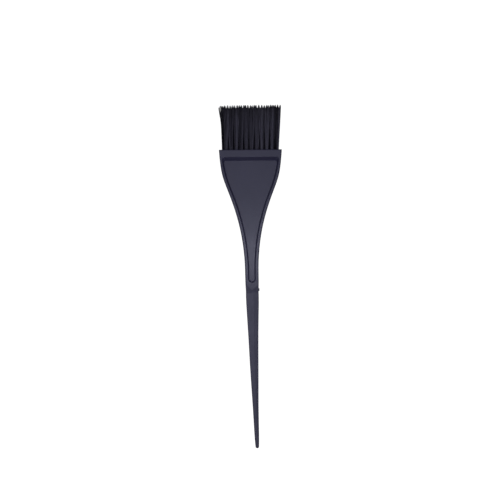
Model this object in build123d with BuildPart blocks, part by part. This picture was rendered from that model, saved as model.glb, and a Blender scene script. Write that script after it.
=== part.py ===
from build123d import *
import math
import os

# Tint brush: a one-piece moulded handle with a flat collar, a panel sunk into each side and a
# tapering pin tail, and three staggered rows of nylon tufts. Each tuft is a bundle of filaments
# folded round a flat wire anchor, which is driven into the collar across the hole.
#
# Frame, in millimetres: the origin is the centre of the collar's back face, which the brush rests
# on. -Y runs along the brush to the bristle tips, +Z comes out of its front face.

os.makedirs("parts", exist_ok=True)

# Handle
overall_length = 210.0
bristle_length = 27.1
collar_height = 4.5
collar_width = 38.6
collar_thickness = 8.0
level_length = 6.0
head_length = 88.0
neck_width = 7.6
neck_thickness = 5.7
side_draft = 2.5
edge_round = 0.5
rim_edge_round = 0.25
profile_points = 7

# Panel sunk into the front and the back
rim_width = 1.5
panel_web = 3.4
panel_wall_draft = 18.0
panel_top_slope = 45.0
panel_corner = 1.5
panel_end_distance = 81.7
panel_end_round = 2.5
panel_floor_round = 0.5
panel_side_points = 9

# Tail
tail_root_distance = 83.0
tail_root_width = 7.4
tail_start_width = 7.85
tail_start_thickness = 5.35
tail_tip_width = 2.1
tail_tip_thickness = 1.9
tail_side_share = 0.75
tail_ridge_shift = 0.08
tail_sections = 5
tail_ridge_round = 0.7
tail_edge_round = 0.45
tail_tip_length = 1.0
tail_tip_angles = (0.0, 30.0, 55.0, 75.0)
sweep_start_distance = 25.0
tail_sweep = 2.7

# Point where the neck's flat face runs out between the tail's two facets
point_distance = 86.0
point_half_angle = 47.0
point_facet_slope = 11.0

# Nub left where the moulding was cut from its runner
gate_distance = 85.7
gate_length = 1.7
gate_height = 1.3
gate_stand = 0.65
gate_round = 0.2

# Tufts, their holes and their anchors
tufts_per_row = 11
tuft_pitch = 3.14
row_pitch = 2.25
row_names = ("back", "middle", "front")
hole_radius = 1.05
hole_depth = 4.2
tuft_radius = 1.02
tuft_gap = 0.1
merge_height = 12.0
tip_spread = 1.04
tuft_corner = 0.3
near_round = 0.01
anchor_width = 2.7
anchor_height = 1.4
anchor_thick = 0.35
anchor_lift = 0.7
anchor_clearance = 0.03
fold_clearance = 0.05

# How near a point must lie to count as on a seam or a plane
seam_tolerance = 0.05

# Places worked out from the sizes above
handle_length = overall_length - bristle_length
tuft_face_y = -collar_height / 2
middle_z = collar_thickness / 2
middle_plane = Plane.XY.offset(middle_z)
draft_inset = middle_z * math.tan(math.radians(side_draft))
panel_floor_z = middle_z + panel_web / 2
panel_depth = collar_thickness - panel_floor_z
panel_wall_run = panel_depth * math.tan(math.radians(panel_wall_draft))
panel_top_run = panel_depth * math.tan(math.radians(panel_top_slope))
anchor_size = (anchor_width, anchor_height, anchor_thick)
anchor_y = tuft_face_y + hole_depth - anchor_lift - anchor_height / 2

# Half widths of the head, down from the tuft face: waisted collar, shoulder, then the long neck
head_stations = [
    (0.0, collar_width / 2),
    (8.0, 18.6),
    (16.0, 17.2),
    (25.0, 14.05),
    (37.0, 9.8),
    (49.0, 6.7),
    (60.0, 4.97),
    (71.0, 4.2),
    (81.0, 4.1),
    (head_length, neck_width / 2),
]


def along(distance):
    """Y of a point this far down the handle from the tuft face."""
    return tuft_face_y + distance


def centre_x(distance):
    """X of the handle's centre line, which sets off sideways along the tail."""
    share = max(0.0, distance - sweep_start_distance) / (handle_length - sweep_start_distance)
    return -tail_sweep * share**2


def face_height(distance):
    """Height of the front face above the middle plane: level at the collar, falling to the neck."""
    share = (distance - level_length) / (head_length - level_length)
    return middle_z - (middle_z - neck_thickness / 2) * math.sin(share * math.pi / 2)


def head_points(side, inset):
    """Points down one side of the head. side is +1 or -1, inset narrows it."""
    return [(centre_x(s) + side * (half - inset), along(s)) for s, half in head_stations]


def panel_points(side, extra):
    """Points down one side of the panel, the rim's width and some extra inside the head's own side."""
    edge = Spline(*head_points(side, 0.0), mode=Mode.PRIVATE)
    last_share = 1 - (head_length - panel_end_distance + panel_end_round) / edge.length
    points = []
    for step in range(panel_side_points):
        share = last_share * step / (panel_side_points - 1)
        inward = (edge % share).rotate(Axis.Z, 90 * side)
        points.append(edge @ share + inward * (rim_width + extra))
    return points


def tail_section(distance, shrink=1.0):
    """Sketch across the tail: two low roofs base to base, their ridges off to one side. The tail's
    root, sunk in the head, is narrower than the neck; past the head the tail tapers."""
    if distance < head_length:
        width, thickness = tail_root_width, tail_start_thickness
    else:
        share = (distance - head_length) / (handle_length - head_length)
        width = tail_start_width + (tail_tip_width - tail_start_width) * share
        thickness = tail_start_thickness + (tail_tip_thickness - tail_start_thickness) * share
    half_width, half_thickness = width / 2 * shrink, thickness / 2 * shrink
    side = half_thickness * tail_side_share
    ridge_x = -tail_ridge_shift * 2 * half_width
    middle = (centre_x(distance), along(distance), middle_z)
    with BuildSketch(Plane(origin=middle, x_dir=(1, 0, 0), z_dir=(0, 1, 0))) as section:
        with BuildLine():
            right_corners = [(half_width, -side), (half_width, side)]
            left_corners = [(-half_width, side), (-half_width, -side)]
            back_ridge, front_ridge = (ridge_x, -half_thickness), (ridge_x, half_thickness)
            Polyline(back_ridge, *right_corners, front_ridge, *left_corners, close=True)
        make_face()
        ridges = section.vertices().filter_by_position(Axis.X, -half_width / 2, half_width / 2)
        fillet(ridges, tail_ridge_round * shrink)
        fillet(section.vertices().group_by(Axis.X)[0], tail_edge_round * shrink)
        fillet(section.vertices().group_by(Axis.X)[-1], tail_edge_round * shrink)
    return section.sketch


def tuft_places():
    """(row name, number, X, Z) of each tuft. Neighbouring rows step half a pitch sideways."""
    places = []
    for row, row_name in enumerate(row_names):
        z = middle_z + (row - 1) * row_pitch
        step = tuft_pitch / 4 * (1 if row == 1 else -1)
        for number in range(tufts_per_row):
            x = (number - (tufts_per_row - 1) / 2) * tuft_pitch + step
            places.append((row_name, number + 1, x, z))
    return places


def on_outer_rim(edge):
    """True for the edges where the side walls and the tuft face meet the front face, as against the
    seams that run straight across that face."""
    box = edge.bounding_box()
    runs_across = box.size.Y < seam_tolerance and box.min.Y > along(0) + seam_tolerance
    return box.min.Z > middle_z + seam_tolerance and not runs_across


def from_panel_floor(shape):
    """True for a face or an edge whose lowest point lies on the panel's floor."""
    return abs(shape.bounding_box().min.Z - panel_floor_z) < seam_tolerance


# --- Front half of the head: drafted side walls, the face falling to the neck, the panel ---
with BuildPart() as head_half:
    for height, inset in ((middle_z, 0.0), (collar_thickness, draft_inset)):
        with BuildSketch(Plane.XY.offset(height)):
            with BuildLine():
                right = Spline(*head_points(1, inset))
                left = Spline(*head_points(-1, inset))
                Line(left @ 0, right @ 0)
                Line(left @ 1, right @ 1)
            make_face()
    loft()

    with BuildSketch(Plane.YZ):
        with BuildLine():
            fall_points = []
            for step in range(profile_points + 1):
                distance = level_length + (head_length - level_length) * step / profile_points
                fall_points.append((along(distance), middle_z + face_height(distance)))
            Line((along(0), collar_thickness), fall_points[0])
            fall = Spline(*fall_points, tangents=((1, 0), (1, 0)))
            above_end = (along(head_length), 2 * collar_thickness)
            above_start = (along(0), 2 * collar_thickness)
            Polyline(fall @ 1, above_end, above_start, (along(0), collar_thickness))
        make_face()
    extrude(amount=collar_width, both=True, mode=Mode.SUBTRACT)
    fillet(head_half.edges().filter_by(on_outer_rim), edge_round)

    floor_outline = (panel_floor_z, panel_wall_run, panel_top_run)
    mouth_outline = (collar_thickness, 0.0, 0.0)
    for height, extra, top in (floor_outline, mouth_outline):
        with BuildSketch(Plane.XY.offset(height)) as panel_outline:
            with BuildLine():
                right = Spline(*panel_points(1, extra))
                left = Spline(*panel_points(-1, extra))
                end_point = (centre_x(panel_end_distance), along(panel_end_distance - extra))
                Line(left @ 0, right @ 0)
                ThreePointArc(left @ 1, end_point, right @ 1)
            make_face()
            with Locations((0, along(collar_height + top + head_length / 2))):
                Rectangle(collar_width, head_length, mode=Mode.INTERSECT)
            fillet(panel_outline.vertices().group_by(Axis.Y)[0], panel_corner)
    loft(mode=Mode.SUBTRACT)
    walls = head_half.faces().filter_by(from_panel_floor)
    mouth = walls.edges().filter_by(from_panel_floor, reverse=True)
    floor = head_half.faces().filter_by(Plane.XY).sort_by(Axis.Z)[1]
    fillet(floor.edges(), panel_floor_round)
    fillet(mouth, rim_edge_round)

    # Two slanting cuts leave the flat face ending in a point on the centre line
    point = (centre_x(point_distance), along(point_distance), middle_z + face_height(point_distance))
    for side in (1, -1):
        arm = Vector(0, -1, 0).rotate(Axis.Z, -side * point_half_angle)
        down = arm.rotate(Axis.Z, -side * 90)
        facet_normal = Vector(0, 0, 1) + down * math.tan(math.radians(point_facet_slope))
        with BuildSketch(Plane(origin=point, x_dir=arm, z_dir=facet_normal)):
            Rectangle(collar_width, neck_width * 2)
        extrude(amount=collar_thickness, mode=Mode.SUBTRACT)

# --- Handle: both halves, the tail, the gate nub and the holes ---
with BuildPart() as handle:
    add(head_half.part)
    mirror(about=middle_plane)

    tip_start = handle_length - tail_tip_length
    tail_step = (tip_start - head_length) / tail_sections
    tail_distances = [tail_root_distance] + [head_length + tail_step * n for n in range(tail_sections + 1)]
    loft([tail_section(distance) for distance in tail_distances])
    tip_sections = []
    for angle in tail_tip_angles:
        turn = math.radians(angle)
        tip_sections.append(tail_section(tip_start + tail_tip_length * math.sin(turn), math.cos(turn)))
    loft(tip_sections, ruled=True)

    nub_reach = neck_width / 2 + gate_stand
    nub_middle = (centre_x(gate_distance) - nub_reach / 2, along(gate_distance), middle_z)
    with Locations(nub_middle):
        Box(nub_reach, gate_length, gate_height)
    nub_x = nub_middle[0] - nub_reach / 2
    nub_end = handle.faces().filter_by_position(Axis.X, nub_x - seam_tolerance, nub_x + seam_tolerance)
    fillet(nub_end.filter_by(Plane.YZ).edges(), gate_round)

    for row_name, number, x, z in tuft_places():
        with Locations(Plane(origin=(x, tuft_face_y, z), z_dir=(0, -1, 0))):
            Hole(hole_radius, hole_depth)
        with Locations((x, anchor_y, z)):
            Box(*[size + 2 * anchor_clearance for size in anchor_size], mode=Mode.SUBTRACT)

handle.part.label = "handle"
export_step(handle.part, "parts/handle.step")


# --- Tufts: a round root folded over its anchor, opening into its own cell of the bristle block ---
def tuft_section(x, z, height, width, thickness, corner):
    """Sketch across one tuft, this high above the tuft face."""
    spread = 1 + (tip_spread - 1) * height / bristle_length
    origin = (x * spread, tuft_face_y - height, middle_z + (z - middle_z) * spread)
    with BuildSketch(Plane(origin=origin, x_dir=(1, 0, 0), z_dir=(0, -1, 0))) as section:
        RectangleRounded(width * spread, thickness * spread, corner)
    return section.sketch


for row_name, number, x, z in tuft_places():
    cell_width = tuft_pitch - tuft_gap
    cell_thickness = row_pitch - tuft_gap
    round_width = 2 * tuft_radius
    with BuildPart() as tuft:
        loft([tuft_section(x, z, 0, round_width, round_width, tuft_radius - near_round),
              tuft_section(x, z, merge_height, cell_width, cell_thickness, tuft_corner),
              tuft_section(x, z, bristle_length, cell_width, cell_thickness, tuft_corner)], ruled=True)
        with BuildSketch(Plane(origin=(x, tuft_face_y, z), z_dir=(0, 1, 0))):
            Circle(tuft_radius)
        extrude(amount=hole_depth - fold_clearance)
        with Locations((x, anchor_y, z)):
            Box(*[size + 2 * anchor_clearance for size in anchor_size], mode=Mode.SUBTRACT)
    tuft.part.label = f"tuft_{row_name}_{number:02d}"
    export_step(tuft.part, f"parts/{tuft.part.label}.step")

# --- Anchors: one flat wire across each hole, its ends let into the collar ---
for anchor_row in row_names:
    with BuildPart() as anchors:
        for row_name, number, x, z in tuft_places():
            if row_name == anchor_row:
                with Locations((x, anchor_y, z)):
                    Box(*anchor_size)
    anchors.part.label = f"anchors_{anchor_row}"
    export_step(anchors.part, f"parts/{anchors.part.label}.step")
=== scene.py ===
import math
import random

import bmesh
import bpy
import numpy as np
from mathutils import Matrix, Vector


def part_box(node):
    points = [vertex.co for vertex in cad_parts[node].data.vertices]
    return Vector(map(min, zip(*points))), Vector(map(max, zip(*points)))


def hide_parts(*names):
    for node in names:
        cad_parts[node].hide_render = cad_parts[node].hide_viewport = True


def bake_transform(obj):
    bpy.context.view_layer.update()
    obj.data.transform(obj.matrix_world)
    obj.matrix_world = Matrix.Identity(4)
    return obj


# Looks for the tint brush. The moulded handle and the wire anchors are the CAD nodes with new
# materials. Each tuft is rebuilt as the nylon filaments it is made of, folded in two round its
# anchor and splaying towards the tips. Lengths in this file are metres unless a name says mm.

MM = 0.001
ROWS = ("back", "middle", "front")
SEED = 7

# Filaments: their size, the rings each leg and fold is built from, how a tuft's tips spread
FILAMENT_RADIUS = 0.09 * MM
FILAMENT_SPACING = 0.19 * MM
FILAMENT_SIDES = 6
FREE_RINGS = 9
FOLD_RINGS = 5
FOLD_SQUEEZE = 0.7
FOLD_DEEPEST_AT = 0.9 * MM
FOLD_MARGIN = 2.5 * FILAMENT_RADIUS
TIP_TAPER = 0.15 * MM
TIP_NARROWING = 0.45
SHORTEST = 0.994
TUFT_LEAN = np.array([0.35, 0.18]) * MM
TIP_SCATTER = 0.12 * MM
BOW = 0.12 * MM

# A CAD tuft's root is its vertices past the mouth by one margin, its tip those within the other
ROOT_MARGIN = 0.2 * MM
TIP_MARGIN = 0.1 * MM

# Tips end in an uneven line of teeth, the same ones in all three rows. A filament is shorter the
# further it ends from its tooth's middle, and leans towards the nearest clump.
TOOTH_PITCH = 1.4 * MM
TOOTH_JITTER = 0.35
TOOTH_SHORTER = 0.35 * MM
TOOTH_FALL = 1.8 * MM
TOOTH_BLUNTNESS = 1.6
TOOTH_PEAK = 0.45 * MM
CLUMPS_PER_TOOTH = 5
CLUMP_PULL = 0.35
CLUMP_SHORTER = 0.05 * MM
CLUMP_SHADE_SHARE = 0.8

# How far tips reach, in half widths of the tuft's own cell: between tufts and at the block's ends
SPREAD = 1.5
OUTER_SPREAD = 1.1

# The block that the bristles fill together
BLOCK_HALF_THICKNESS = 3.4 * MM
BLOCK_HALF_WIDTH = 18.3 * MM

# The last tuft on the +X side has lost its shape: its filaments sit closer in, bar some strays
END_TUFT_SHORTER = 0.2 * MM
END_TUFT_INWARD = 1.3 * MM
STRAY_SHARE = 0.3
STRAY_REACH = (1.04 * MM, 2.6 * MM)
STRAY_CURL = 2.0

# Camera: looks straight down the thickness, image up towards the bristles
VIEW_WIDTH = 306.4 * MM
LENS_MM = 150.0
SENSOR_MM = 36.0
CAMERA_ROLL = math.radians(-0.5)
HEAD_TO_CENTRE = 61.4 * MM
CENTRE_SIDE = 0.75 * MM
CAMERA_REACH = 10.0

# Plastic: linear colours, and the marks of the mould and of handling. Wear fades in as the edge
# bends the rounded normal away from the face's own, from the first alignment to the second.
PLASTIC_DARK = (0.030, 0.029, 0.068)
PLASTIC_LIGHT = (0.036, 0.034, 0.077)
PLASTIC_WORN = (0.045, 0.044, 0.070)
PLASTIC_ROUGHNESS = (0.36, 0.29)
WEAR_REACH = 0.35 * MM
WEAR_STRENGTH = 0.5
WEAR_ALIGNMENT = (0.99, 0.9)
WEAR_PATCH_EDGES = (0.4, 0.65)
PARTING_HALF_WIDTH = 0.06 * MM
PARTING_STRENGTH = 0.6
MOULD_STRENGTH = 0.12

# Nylon: TIP_TINT_FROM is a share of a filament's free length; the range over which the painted shade
# deepens is a share of the block's depth
NYLON_DARK = (0.002, 0.002, 0.007)
NYLON_LIGHT = (0.078, 0.072, 0.118)
NYLON_TIP = (0.007, 0.004, 0.011)
NYLON_GLOSS = (0.15, 0.85)
NYLON_ROUGHNESS = (0.3, 0.5)
STREAK_STRETCH = (1, 0.04, 1)
STREAK_STRENGTH = 0.25
TIP_TINT_FROM = 0.6
TIP_TINT_MOST = 0.6
PAINTED_SHADE_RANGE = (0.2, 0.9)
DEEPEST_SHADE = 0.15

# Anchor wire
STEEL_DARK = (0.45, 0.45, 0.47)
STEEL_LIGHT = (0.68, 0.68, 0.69)
STEEL_ROUGHNESS = (0.25, 0.45)
GRAIN_STRETCH = (0.03, 1, 1)
GRAIN_STRENGTH = 0.2

# Noise scales, per metre, the range most of a noise's values lie in, and the finest marks' depth
MOTTLE = 90
WEAR_PATCHES = 350
HANDLING = 45
MOULD_TEXTURE = 2500
NYLON_STREAK = 900
WIRE_GRAIN = 6000
NOISE_RANGE = (0.3, 0.7)
TEXTURE_DEPTH = 0.02 * MM

# Light: a dim studio, one large softbox overhead, a smaller one each side and a spot over the neck
SKY_AT_HORIZON = 0.14
SKY_OVERHEAD = 0.28
KEY_DIRECTION = Vector((0.06, 0.12, 1))
LEFT_DIRECTION = Vector((0.45, 0, 1))
RIGHT_DIRECTION = Vector((-0.45, 0, 1))
BOX_DISTANCE = 1.0
BOX_SIZE = 0.3
KEY_SIZE = 0.9
KEY_POWER = 1.22
LEFT_POWER = 0.55
RIGHT_POWER = 0.38
TOP_DISTANCE = 0.12
TOP_SIZE = 0.03
TOP_POWER = 0.012
TOP_ALONG = 64.0 * MM
LIGHT_TINT = (0.82, 0.84, 1.0)

# Floor: far enough down for the bristles to bend over it
FLOOR_HALF_SIZE = 3.0
FLOOR_DROP = 25.0 * MM
FLOOR_ALBEDO = 0.25
FLOOR_ROUGHNESS = 0.9
FLOOR_SHINE = 0.1
FLOOR_GLOW = 1.0
WHITE = (1, 1, 1)

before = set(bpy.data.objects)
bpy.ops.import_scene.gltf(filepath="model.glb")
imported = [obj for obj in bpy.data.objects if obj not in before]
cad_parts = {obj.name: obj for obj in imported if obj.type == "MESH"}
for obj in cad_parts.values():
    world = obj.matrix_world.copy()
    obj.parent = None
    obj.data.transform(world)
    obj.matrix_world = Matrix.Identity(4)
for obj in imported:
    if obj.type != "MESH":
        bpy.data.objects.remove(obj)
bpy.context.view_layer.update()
handle_low, handle_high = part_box("handle")
mouth_y = handle_low.y
mouth_middle = (handle_low.z + handle_high.z) / 2


def vertices_of(node):
    """The CAD node's vertices as an array."""
    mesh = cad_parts[node].data
    points = np.zeros(len(mesh.vertices) * 3)
    mesh.vertices.foreach_get("co", points)
    return points.reshape(-1, 3)


def middle_and_half(points):
    """Centre and half size of a set of points, across the brush (X and Z)."""
    low, high = points.min(axis=0), points.max(axis=0)
    centre, half = (low + high) / 2, (high - low) / 2
    return centre[[0, 2]], half[[0, 2]]


# --- Filaments ---
def packed_half_disc(radius):
    """Hexagonally packed points (x, z) in the upper half of a disc, none on the middle line."""
    row_step = FILAMENT_SPACING * math.sqrt(3) / 2
    points = []
    row = 0
    while (row + 0.5) * row_step < radius:
        z = (row + 0.5) * row_step
        reach = math.sqrt(radius**2 - z**2)
        shift = 0.5 * FILAMENT_SPACING * (row % 2)
        count = int(reach / FILAMENT_SPACING) + 1
        for column in range(-count, count + 1):
            x = column * FILAMENT_SPACING + shift
            if abs(x) < reach:
                points.append((x, z))
        row += 1
    return points


def sweep_tube(path, radius):
    """Vertices and faces of a closed round tube along path, whose tangent is never along X."""
    path = np.array(path)
    tangent = np.gradient(path, axis=0)
    tangent /= np.linalg.norm(tangent, axis=1)[:, None]
    across = np.array([1.0, 0.0, 0.0])
    first = across - (tangent @ across)[:, None] * tangent
    first /= np.linalg.norm(first, axis=1)[:, None]
    second = np.cross(tangent, first)
    angles = np.arange(FILAMENT_SIDES) * 2 * math.pi / FILAMENT_SIDES
    radii = np.full(len(path), radius)
    radii[[0, -1]] *= TIP_NARROWING
    cosines, sines = np.cos(angles)[None, :, None], np.sin(angles)[None, :, None]
    ring = first[:, None] * cosines + second[:, None] * sines
    vertices = (path[:, None] + ring * radii[:, None, None]).reshape(-1, 3)
    faces = []
    for k in range(len(path) - 1):
        for side in range(FILAMENT_SIDES):
            after = (side + 1) % FILAMENT_SIDES
            base, top = k * FILAMENT_SIDES, (k + 1) * FILAMENT_SIDES
            faces.append((base + side, base + after, top + after, top + side))
    faces.append(tuple(range(FILAMENT_SIDES - 1, -1, -1)))
    last = (len(path) - 1) * FILAMENT_SIDES
    faces.append(tuple(range(last, last + FILAMENT_SIDES)))
    return vertices, faces


def leg(root, tip, tip_y, bow, stray):
    """Points from the hole's mouth to the tip, bowed and, if astray, curling off sideways. The
    last two lie close together, for the filament's rounded end."""
    length = mouth_y - tip_y
    shares = [k / (FREE_RINGS - 1) for k in range(FREE_RINGS - 1)] + [1 - TIP_TAPER / length, 1.0]
    points = []
    for t in shares:
        side = root + (tip - root) * t + bow * math.sin(math.pi * t)
        points.append((side[0] + stray * t**STRAY_CURL, mouth_y - length * t, side[1]))
    return points


def fold(centre, x, z, hole_bottom, anchor_span, anchor_half):
    """Points that carry a filament from one leg's mouth, round under the anchor, to the other's."""
    squeezed = anchor_half + FILAMENT_RADIUS + z * FOLD_SQUEEZE
    room = hole_bottom - anchor_span[1] - FOLD_MARGIN
    reach = FILAMENT_RADIUS + room * min(1, z / FOLD_DEEPEST_AT)
    points = [(centre[0] + x, anchor_span[0], centre[1] + squeezed)]
    for k in range(FOLD_RINGS):
        turn = math.pi * k / (FOLD_RINGS - 1)
        y = anchor_span[1] + reach * math.sin(turn)
        points.append((centre[0] + x, y, centre[1] + squeezed * math.cos(turn)))
    points.append((centre[0] + x, anchor_span[0], centre[1] - squeezed))
    return points


def tip_teeth(rng):
    """The teeth across the brush: (x, how much shorter the tooth is than the longest)."""
    teeth = []
    x = -BLOCK_HALF_WIDTH - TOOTH_PITCH
    while x < BLOCK_HALF_WIDTH - TOOTH_PITCH:
        x += TOOTH_PITCH * rng.uniform(1 - TOOTH_JITTER, 1 + TOOTH_JITTER)
        teeth.append((x, TOOTH_SHORTER * rng.random()))
    return teeth


def clumps_in_reach(teeth, tip_centre, tip_half, rng):
    """The clumps a tuft's tips lean towards, several to a tooth: (place from the tuft's middle, its
    tooth's x, shortfall, shade)."""
    clumps = []
    for tooth_x, shortfall in teeth:
        off_centre = tooth_x - tip_centre[0]
        if abs(off_centre) < tip_half[0] * SPREAD:
            for _ in range(CLUMPS_PER_TOOTH):
                clump_x = off_centre + rng.uniform(-0.5, 0.5) * TOOTH_PITCH
                place = np.array([clump_x, rng.uniform(-1, 1) * tip_half[1]])
                shorter = shortfall + CLUMP_SHORTER * rng.random()
                clumps.append((place, off_centre, shorter, rng.random()))
    return clumps


def depth_for_painted_shade(vertices):
    """How deep each vertex lies in the bristle block, which sets the nylon's painted shade: 0 at its
    faces and ends, 1 at its middle.
    """
    under_faces = BLOCK_HALF_THICKNESS - np.abs(vertices[:, 2] - mouth_middle)
    inside_ends = BLOCK_HALF_WIDTH - np.abs(vertices[:, 0])
    return np.clip(np.minimum(under_faces, inside_ends) / BLOCK_HALF_THICKNESS, 0, 1)


def smooth_object(name, vertices, faces, attributes):
    """A smooth-shaded mesh object whose vertices carry the named values."""
    mesh = bpy.data.meshes.new(name)
    mesh.from_pydata(vertices.tolist(), [], faces)
    for attribute_name, values in attributes.items():
        attribute = mesh.attributes.new(attribute_name, "FLOAT", "POINT")
        attribute.data.foreach_set("value", np.array(values, np.float32))
    mesh.polygons.foreach_set("use_smooth", [True] * len(mesh.polygons))
    mesh.update()
    obj = bpy.data.objects.new(name, mesh)
    bpy.context.scene.collection.objects.link(obj)
    return obj


def build_tuft(node, row, number, count, teeth, rng):
    """One tuft's filaments as a single mesh object."""
    points = vertices_of(node)
    root_centre, root_half = middle_and_half(points[points[:, 1] > mouth_y + ROOT_MARGIN])
    tip_y = points[:, 1].min()
    tip_centre, tip_half = middle_and_half(points[points[:, 1] < tip_y + TIP_MARGIN])
    hole_bottom = points[:, 1].max()
    anchor_low, anchor_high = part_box(f"anchors_{row}")
    anchor_half = (anchor_high.z - anchor_low.z) / 2
    anchor_span = (anchor_low.y, anchor_high.y)

    is_end = number == count
    lean = np.array([rng.uniform(-1, 1), rng.uniform(-1, 1)]) * TUFT_LEAN
    full_length = mouth_y - tip_y + TOOTH_PEAK
    if is_end:
        lean[0] -= END_TUFT_INWARD
        full_length -= END_TUFT_SHORTER
    clumps = clumps_in_reach(teeth, tip_centre, tip_half, rng)
    limit_low = np.array([-OUTER_SPREAD if number == 1 else -np.inf, -1]) * tip_half
    limit_high = np.array([OUTER_SPREAD if is_end else np.inf, 1]) * tip_half

    def filament_leg(offset):
        """One leg, drawn towards the clump nearest to where it would end, and that clump's shade."""
        spot = offset / root_half * tip_half * SPREAD + lean
        spot = spot + np.array([rng.gauss(0, 1), rng.gauss(0, 1)]) * TIP_SCATTER
        spot = np.clip(spot, limit_low, limit_high)
        nearest = min(clumps, key=lambda entry: np.hypot(*(entry[0] - spot)))
        clump, tooth_x, shorter, clump_shade = nearest
        off_tooth = min(1, abs(tooth_x - spot[0]) / (TOOTH_PITCH / 2))
        fall = TOOTH_FALL * off_tooth**TOOTH_BLUNTNESS
        spot = spot + (clump - spot) * CLUMP_PULL * rng.random()
        length = full_length * (1 - (1 - SHORTEST) * rng.random()) - shorter - fall
        bow = np.array([rng.gauss(0, 1), rng.gauss(0, 1)]) * BOW
        stray = rng.uniform(*STRAY_REACH) if is_end and rng.random() < STRAY_SHARE else 0.0
        path = leg(root_centre + offset, tip_centre + spot, mouth_y - length, bow, stray)
        return path, clump_shade

    all_vertices, all_faces, shade = [], [], []
    total = 0
    for x, z in packed_half_disc(root_half[0] - FILAMENT_RADIUS):
        front_leg, front_shade = filament_leg(np.array([x, z]))
        back_leg, back_shade = filament_leg(np.array([x, -z]))
        turn = fold(root_centre, x, z, hole_bottom, anchor_span, anchor_half)
        path = front_leg[::-1] + turn + back_leg
        vertices, faces = sweep_tube(path, FILAMENT_RADIUS)
        all_vertices.append(vertices)
        all_faces.extend([tuple(i + total for i in face) for face in faces])
        total += len(vertices)
        own_shade = rng.random() * (1 - CLUMP_SHADE_SHARE)
        leg_vertices = len(vertices) // 2
        shade.extend([own_shade + front_shade * CLUMP_SHADE_SHARE] * leg_vertices)
        shade.extend([own_shade + back_shade * CLUMP_SHADE_SHARE] * (len(vertices) - leg_vertices))
    tuft_vertices = np.concatenate(all_vertices)
    along = np.clip((mouth_y - tuft_vertices[:, 1]) / (mouth_y - tip_y), 0, 1)
    # The depth in the block drives the nylon's painted shade
    attributes = {"shade": shade, "along": along, "painted_shade_depth": depth_for_painted_shade(tuft_vertices)}
    return smooth_object(f"filaments_{row}_{number:02d}", tuft_vertices, all_faces, attributes)


# --- Materials ---
def new_material(name):
    """(material, node tree's nodes, links, its Principled node)"""
    material = bpy.data.materials.new(name)
    material.use_nodes = True
    nodes, links = material.node_tree.nodes, material.node_tree.links
    return material, nodes, links, nodes["Principled BSDF"]


def add_ramp(nodes, links, value, positions, colours):
    """Two-stop colour ramp. Returns its colour."""
    ramp = nodes.new("ShaderNodeValToRGB")
    for element, position, colour in zip(ramp.color_ramp.elements, positions, colours):
        element.position = position
        element.color = (*colour, 1)
    links.new(value, ramp.inputs["Fac"])
    return ramp.outputs["Color"]


def add_mix(nodes, links, share, first, second_colour):
    """Mix of a socket's colour with a fixed one, by a share from 0 to 1. Returns its colour."""
    mix = nodes.new("ShaderNodeMix")
    mix.data_type = "RGBA"
    links.new(share, mix.inputs["Factor"])
    links.new(first, mix.inputs["A"])
    mix.inputs["B"].default_value = (*second_colour, 1)
    return mix.outputs["Result"]


def add_attribute(nodes, name):
    """A value that the mesh's vertices carry."""
    attribute = nodes.new("ShaderNodeAttribute")
    attribute.attribute_name = name
    return attribute.outputs["Fac"]


def add_noise(nodes, links, vector, scale, detail, stretch=(1, 1, 1)):
    """Noise texture at a scale per metre, optionally stretched along an axis. Returns its value."""
    mapping = nodes.new("ShaderNodeMapping")
    mapping.inputs["Scale"].default_value = stretch
    links.new(vector, mapping.inputs["Vector"])
    noise = nodes.new("ShaderNodeTexNoise")
    noise.inputs["Scale"].default_value = scale
    noise.inputs["Detail"].default_value = detail
    links.new(mapping.outputs["Vector"], noise.inputs["Vector"])
    return noise.outputs["Fac"]


def add_math(nodes, links, operation, first, second):
    """Math node; each input is a socket or a number. Returns its value."""
    node = nodes.new("ShaderNodeMath")
    node.operation = operation
    for place, value in enumerate((first, second)):
        if isinstance(value, (int, float)):
            node.inputs[place].default_value = value
        else:
            links.new(value, node.inputs[place])
    return node.outputs["Value"]


def add_range(nodes, links, value, low, high, to_low, to_high):
    """Map Range node. Returns its result."""
    node = nodes.new("ShaderNodeMapRange")
    limits = {"From Min": low, "From Max": high, "To Min": to_low, "To Max": to_high}
    for name, limit in limits.items():
        node.inputs[name].default_value = limit
    links.new(value, node.inputs["Value"])
    return node.outputs["Result"]


def add_bump(nodes, links, height, strength, distance, normal=None):
    """Bump node over an optional earlier one. Returns its normal."""
    node = nodes.new("ShaderNodeBump")
    node.inputs["Strength"].default_value = strength
    node.inputs["Distance"].default_value = distance
    links.new(height, node.inputs["Height"])
    if normal is not None:
        links.new(normal, node.inputs["Normal"])
    return node.outputs["Normal"]


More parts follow.
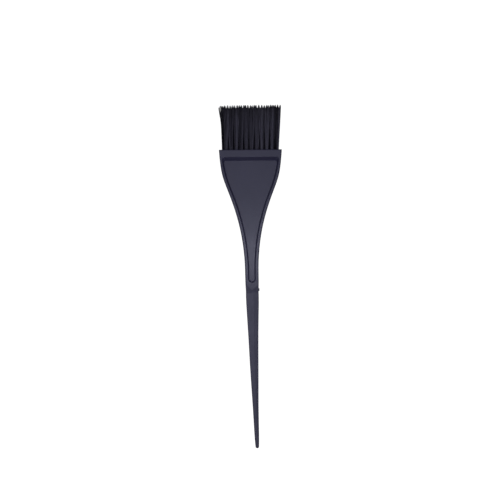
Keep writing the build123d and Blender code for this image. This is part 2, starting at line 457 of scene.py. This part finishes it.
def plastic():
    """Satin moulded plastic: mottled, finely textured, polished by handling on its edges, with the
    mould's parting line round its middle."""
    material, nodes, links, shader = new_material("satin_moulded_plastic")
    place = nodes.new("ShaderNodeTexCoord").outputs["Object"]
    mottle = add_noise(nodes, links, place, MOTTLE, detail=5)
    mottled = add_ramp(nodes, links, mottle, NOISE_RANGE, (PLASTIC_DARK, PLASTIC_LIGHT))

    bevel = nodes.new("ShaderNodeBevel")
    bevel.inputs["Radius"].default_value = WEAR_REACH
    geometry = nodes.new("ShaderNodeNewGeometry")
    facing = nodes.new("ShaderNodeVectorMath")
    facing.operation = "DOT_PRODUCT"
    links.new(bevel.outputs["Normal"], facing.inputs[0])
    links.new(geometry.outputs["Normal"], facing.inputs[1])
    worn = add_range(nodes, links, facing.outputs["Value"], *WEAR_ALIGNMENT, 0.0, 1.0)
    patches = add_noise(nodes, links, place, WEAR_PATCHES, detail=3)
    patchy = add_range(nodes, links, patches, *WEAR_PATCH_EDGES, 0.0, WEAR_STRENGTH)
    wear = add_math(nodes, links, "MULTIPLY", worn, patchy)
    colour = add_mix(nodes, links, wear, mottled, PLASTIC_WORN)
    links.new(colour, shader.inputs["Base Color"])

    handled = add_noise(nodes, links, place, HANDLING, detail=4)
    roughness = add_range(nodes, links, handled, *NOISE_RANGE, *PLASTIC_ROUGHNESS)
    links.new(roughness, shader.inputs["Roughness"])

    split = nodes.new("ShaderNodeSeparateXYZ")
    links.new(place, split.inputs["Vector"])
    from_middle = add_math(nodes, links, "SUBTRACT", split.outputs["Z"], mouth_middle)
    off_middle = add_math(nodes, links, "ABSOLUTE", from_middle, 0)
    parting_line = add_range(nodes, links, off_middle, 0.0, PARTING_HALF_WIDTH, 1.0, 0.0)
    normal = add_bump(nodes, links, parting_line, PARTING_STRENGTH, PARTING_HALF_WIDTH)
    mould_texture = add_noise(nodes, links, place, MOULD_TEXTURE, detail=2)
    normal = add_bump(nodes, links, mould_texture, MOULD_STRENGTH, TEXTURE_DEPTH, normal)
    links.new(normal, shader.inputs["Normal"])
    return material


def nylon():
    """Glossy black nylon: each filament its own shade of colour, darker towards the cut tips, and
    with painted shade darkening its colour and gloss where it lies deep among the others."""
    material, nodes, links, shader = new_material("black_nylon_filament")
    shade = add_attribute(nodes, "shade")
    own_colour = add_ramp(nodes, links, shade, (0.0, 1.0), (NYLON_DARK, NYLON_LIGHT))
    along = add_attribute(nodes, "along")
    tip_share = add_range(nodes, links, along, TIP_TINT_FROM, 1.0, 0.0, TIP_TINT_MOST)
    tinted = add_mix(nodes, links, tip_share, own_colour, NYLON_TIP)
    # Painted shade: colour and gloss darken the deeper a filament lies in the bristle block
    painted_shade_depth = add_attribute(nodes, "painted_shade_depth")
    painted_shade_scale = add_range(nodes, links, painted_shade_depth, *PAINTED_SHADE_RANGE, 1.0, DEEPEST_SHADE)
    shaded = nodes.new("ShaderNodeVectorMath")
    shaded.operation = "SCALE"
    links.new(tinted, shaded.inputs["Vector"])
    links.new(painted_shade_scale, shaded.inputs["Scale"])
    links.new(shaded.outputs["Vector"], shader.inputs["Base Color"])
    gloss = add_range(nodes, links, shade, 0.0, 1.0, *NYLON_GLOSS)
    gloss_under_painted_shade = add_math(nodes, links, "MULTIPLY", painted_shade_scale, gloss)
    links.new(gloss_under_painted_shade, shader.inputs["Specular IOR Level"])

    place = nodes.new("ShaderNodeTexCoord").outputs["Object"]
    streak = add_noise(nodes, links, place, NYLON_STREAK, detail=3, stretch=STREAK_STRETCH)
    roughness = add_range(nodes, links, streak, *NOISE_RANGE, *NYLON_ROUGHNESS)
    links.new(roughness, shader.inputs["Roughness"])
    normal = add_bump(nodes, links, streak, STREAK_STRENGTH, TEXTURE_DEPTH)
    links.new(normal, shader.inputs["Normal"])
    return material


def wire():
    """Drawn steel wire, its grain running along X."""
    material, nodes, links, shader = new_material("drawn_anchor_wire")
    place = nodes.new("ShaderNodeTexCoord").outputs["Object"]
    grain = add_noise(nodes, links, place, WIRE_GRAIN, detail=3, stretch=GRAIN_STRETCH)
    colour = add_ramp(nodes, links, grain, NOISE_RANGE, (STEEL_DARK, STEEL_LIGHT))
    links.new(colour, shader.inputs["Base Color"])
    shader.inputs["Metallic"].default_value = 1
    roughness = add_range(nodes, links, grain, *NOISE_RANGE, *STEEL_ROUGHNESS)
    links.new(roughness, shader.inputs["Roughness"])
    normal = add_bump(nodes, links, grain, GRAIN_STRENGTH, TEXTURE_DEPTH)
    links.new(normal, shader.inputs["Normal"])
    return material


def assign(obj, material):
    """Give the object this one material."""
    obj.data.materials.clear()
    obj.data.materials.append(material)


# --- Stage ---
def add_floor():
    """Plain floor that looks white to the camera but throws little light back."""
    mesh = bpy.data.meshes.new("floor")
    shape = bmesh.new()
    bmesh.ops.create_grid(shape, x_segments=1, y_segments=1, size=FLOOR_HALF_SIZE)
    shape.to_mesh(mesh)
    shape.free()
    floor = bpy.data.objects.new("floor", mesh)
    bpy.context.scene.collection.objects.link(floor)
    floor.location = (0, 0, handle_low.z - FLOOR_DROP)
    material, nodes, links, shader = new_material("pale_floor")
    shader.inputs["Base Color"].default_value = (FLOOR_ALBEDO, FLOOR_ALBEDO, FLOOR_ALBEDO, 1)
    shader.inputs["Roughness"].default_value = FLOOR_ROUGHNESS
    shader.inputs["Specular IOR Level"].default_value = FLOOR_SHINE
    shader.inputs["Emission Color"].default_value = (*WHITE, 1)
    seen = nodes.new("ShaderNodeLightPath").outputs["Is Camera Ray"]
    glow = add_math(nodes, links, "MULTIPLY", seen, FLOOR_GLOW)
    links.new(glow, shader.inputs["Emission Strength"])
    assign(floor, material)


def add_world():
    """Dim sky that is brighter overhead, and white where the camera sees it."""
    world = bpy.data.worlds.new("studio")
    bpy.context.scene.world = world
    world.use_nodes = True
    nodes, links = world.node_tree.nodes, world.node_tree.links
    background = nodes["Background"]
    coordinates = nodes.new("ShaderNodeTexCoord")
    split = nodes.new("ShaderNodeSeparateXYZ")
    links.new(coordinates.outputs["Generated"], split.inputs["Vector"])
    sky = add_range(nodes, links, split.outputs["Z"], 0.0, 1.0, SKY_AT_HORIZON, SKY_OVERHEAD)
    seen = nodes.new("ShaderNodeLightPath").outputs["Is Camera Ray"]
    links.new(add_mix(nodes, links, seen, sky, WHITE), background.inputs["Color"])
    background.inputs["Strength"].default_value = 1.0


def add_softbox(name, target, direction, distance, size, power):
    """Disc light that faces target from a direction, and that the camera doesn't see."""
    light = bpy.data.lights.new(name, "AREA")
    light.shape = "DISK"
    light.size = size
    light.energy = power
    light.color = LIGHT_TINT
    light_object = bpy.data.objects.new(name, light)
    light_object.location = target + direction.normalized() * distance
    light_object.rotation_euler = direction.to_track_quat("Z", "Y").to_euler()
    light_object.visible_camera = False
    bpy.context.scene.collection.objects.link(light_object)


def add_camera():
    """Long lens straight above, rolled a little. Returns the point it looks at."""
    scene = bpy.context.scene
    data = bpy.data.cameras.new("camera")
    data.lens = LENS_MM
    data.sensor_width = SENSOR_MM
    camera = bpy.data.objects.new("camera", data)
    centre = Vector((CENTRE_SIDE, mouth_y + HEAD_TO_CENTRE, mouth_middle))
    distance = VIEW_WIDTH / 2 / (SENSOR_MM / 2 / LENS_MM)
    camera.location = centre + Vector((0, 0, distance))
    camera.rotation_euler = (0, 0, math.pi + CAMERA_ROLL)
    data.clip_end = CAMERA_REACH
    scene.collection.objects.link(camera)
    scene.camera = camera
    return centre


# --- Build ---
plastic_material, nylon_material, wire_material = plastic(), nylon(), wire()
assign(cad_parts["handle"], plastic_material)
rng = random.Random(SEED)
teeth = tip_teeth(rng)
for row in ROWS:
    assign(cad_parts[f"anchors_{row}"], wire_material)
    nodes_in_row = sorted(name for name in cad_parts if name.startswith(f"tuft_{row}_"))
    for number, node in enumerate(nodes_in_row, start=1):
        tuft = build_tuft(node, row, number, len(nodes_in_row), teeth, rng)
        assign(tuft, nylon_material)
        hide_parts(node)
        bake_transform(tuft)

add_floor()
add_world()
centre = add_camera()
over_neck = Vector((0, mouth_y + TOP_ALONG, handle_high.z))
add_softbox("key_softbox", centre, KEY_DIRECTION, BOX_DISTANCE, KEY_SIZE, KEY_POWER)
add_softbox("left_softbox", centre, LEFT_DIRECTION, BOX_DISTANCE, BOX_SIZE, LEFT_POWER)
add_softbox("right_softbox", centre, RIGHT_DIRECTION, BOX_DISTANCE, BOX_SIZE, RIGHT_POWER)
add_softbox("top_softbox", over_neck, Vector((0, 0, 1)), TOP_DISTANCE, TOP_SIZE, TOP_POWER)
bpy.context.scene.view_settings.view_transform = "Standard"
